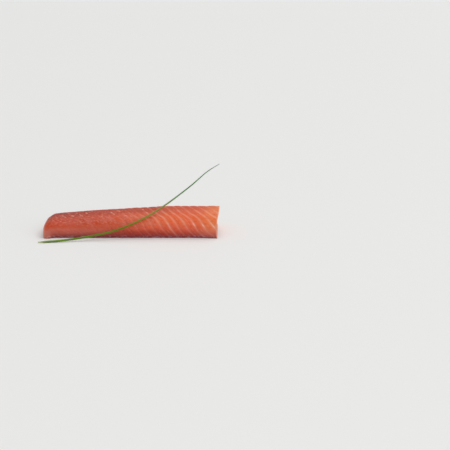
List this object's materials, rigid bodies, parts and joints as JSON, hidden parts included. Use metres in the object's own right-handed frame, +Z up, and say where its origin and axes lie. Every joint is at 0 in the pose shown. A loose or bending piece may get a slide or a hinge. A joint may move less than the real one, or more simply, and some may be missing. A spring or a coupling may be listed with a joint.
{
  "type": "smoked salmon loin",
  "caption": "Block of smoked salmon loin, flat underneath and rounded on top, rounded at the tail end and cut straight at the other, with a long chive blade laid over it.",
  "frame": {"origin": "on the flat underside, halfway along the loin and below the crest line at the cut end", "axes": "+X along the loin from the rounded tail end to the knife cut, -Y to the steep front side with the chive's foot, +Z up"},
  "size_m": [0.2057, 0.0802, 0.0748],
  "materials": {
    "salmon_flesh": "moist smoked fish flesh with pale fat seams, satin with a thin wet sheen",
    "chive_leaf": "fresh green leaf, smooth and slightly waxy"
  },
  "bodies": {
    "root": {"salmon_loin": "salmon_flesh", "chive": "chive_leaf"}
  },
  "joints": []
}
